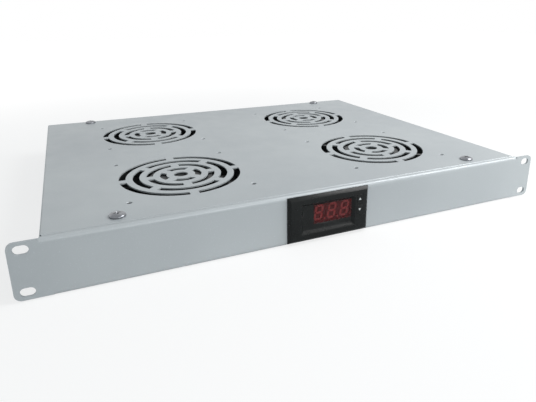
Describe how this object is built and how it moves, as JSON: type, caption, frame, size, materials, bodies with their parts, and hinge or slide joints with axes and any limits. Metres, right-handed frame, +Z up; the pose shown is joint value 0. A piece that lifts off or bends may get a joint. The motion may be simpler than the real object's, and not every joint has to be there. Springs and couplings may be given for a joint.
{
  "type": "rack fan tray",
  "caption": "One-unit rack fan tray: folded sheet-metal tray with slotted grilles over axial fans, flanged front panel with a digital thermostat and a mains inlet behind.",
  "frame": {"origin": "centre of the four rack slots, on the rear face of the panel's ears", "axes": "+X along the panel to the right seen from the front, +Y back through the tray, +Z up"},
  "size_m": [0.4826, 0.3702, 0.0474],
  "materials": {
    "panel_paint": "satin light grey powder coat",
    "tray_paint": "satin light grey powder coat",
    "zinc_steel": "bright zinc plated steel",
    "nickel_steel": "nickel plated steel",
    "lamination": "varnished laminations and windings",
    "bronze": "sintered bronze",
    "black_plastic": "fine textured black ABS",
    "red_window": "clear red acrylic",
    "display_red": "dark display face",
    "circuit_board": "green solder resist",
    "switch_plastic": "black moulding",
    "key_plastic": "matte black key cap",
    "relay_plastic": "blue relay case",
    "terminal_plastic": "green terminal moulding",
    "clip_plastic": "orange nylon clip",
    "probe_steel": "stainless capsule",
    "clip_nylon": "natural nylon",
    "black_lead": "black sheath",
    "lead_sleeve": "brown and blue insulation",
    "earth_sleeve": "green and yellow insulation",
    "tinned_copper": "tinned copper",
    "block_nylon": "natural polyamide",
    "inlet_plastic": "black thermoplastic",
    "inlet_brass": "nickel plated brass",
    "receptacle_sleeve": "insulated receptacle",
    "fan_casting": "black painted die casting",
    "fan_plastic": "black moulded impeller",
    "shaft_steel": "ground steel"
  },
  "bodies": {
    "chassis": {"front_panel": "panel_paint", "tray_body": "tray_paint", "panel_studs": "zinc_steel", "panel_nuts": "zinc_steel", "corner_screws": "nickel_steel", "corner_nuts": "zinc_steel", "fan_screws": "zinc_steel", "fan_stators": "lamination", "fan_bushes": "bronze", "thermostat_case": "black_plastic", "thermostat_back": "black_plastic", "display_window": "red_window", "display_module": "display_red", "display_board": "circuit_board", "key_switches": "switch_plastic", "control_board": "circuit_board", "relay": "relay_plastic", "transformer": "lamination", "thermostat_terminals": "terminal_plastic", "thermostat_clips": "clip_plastic", "temperature_probe": "probe_steel", "probe_clip": "clip_nylon", "probe_lead": "black_lead", "thermostat_leads": "lead_sleeve", "mains_leads": "lead_sleeve", "earth_lead": "earth_sleeve", "earth_stud": "zinc_steel", "earth_nut": "zinc_steel", "earth_lug": "tinned_copper", "terminal_block": "block_nylon", "terminal_studs": "zinc_steel", "terminal_nuts": "zinc_steel", "inlet_housing": "inlet_plastic", "inlet_pins": "inlet_brass", "inlet_receptacles": "receptacle_sleeve", "inlet_screws": "zinc_steel", "inlet_nuts": "zinc_steel", "front_left_fan_housing": "fan_casting", "front_left_fan_lead": "black_lead", "front_right_fan_housing": "fan_casting", "front_right_fan_lead": "black_lead", "rear_left_fan_housing": "fan_casting", "rear_left_fan_lead": "black_lead", "rear_right_fan_housing": "fan_casting", "rear_right_fan_lead": "black_lead"},
    "front_left_rotor": {"front_left_impeller": "fan_plastic", "front_left_shaft": "shaft_steel"},
    "front_right_rotor": {"front_right_impeller": "fan_plastic", "front_right_shaft": "shaft_steel"},
    "rear_left_rotor": {"rear_left_impeller": "fan_plastic", "rear_left_shaft": "shaft_steel"},
    "rear_right_rotor": {"rear_right_impeller": "fan_plastic", "rear_right_shaft": "shaft_steel"},
    "up_button": {"up_key": "key_plastic"},
    "down_button": {"down_key": "key_plastic"}
  },
  "joints": [
    {"name": "front_left_spin", "type": "hinge", "parent": "chassis", "child": "front_left_rotor", "pos_m": [-0.105, 0.091, 0], "axis": [0, 0, 1], "continuous": true},
    {"name": "front_right_spin", "type": "hinge", "parent": "chassis", "child": "front_right_rotor", "pos_m": [0.105, 0.091, 0], "axis": [0, 0, 1], "continuous": true},
    {"name": "rear_left_spin", "type": "hinge", "parent": "chassis", "child": "rear_left_rotor", "pos_m": [-0.105, 0.2596, 0], "axis": [0, 0, 1], "continuous": true},
    {"name": "rear_right_spin", "type": "hinge", "parent": "chassis", "child": "rear_right_rotor", "pos_m": [0.105, 0.2596, 0], "axis": [0, 0, 1], "continuous": true},
    {"name": "up_button_press", "type": "slide", "parent": "chassis", "child": "up_button", "axis": [0, 1, 0], "range_m": [0, 0.0004], "stiffness_N_per_m": 900},
    {"name": "down_button_press", "type": "slide", "parent": "chassis", "child": "down_button", "axis": [0, 1, 0], "range_m": [0, 0.0004], "stiffness_N_per_m": 900}
  ]
}
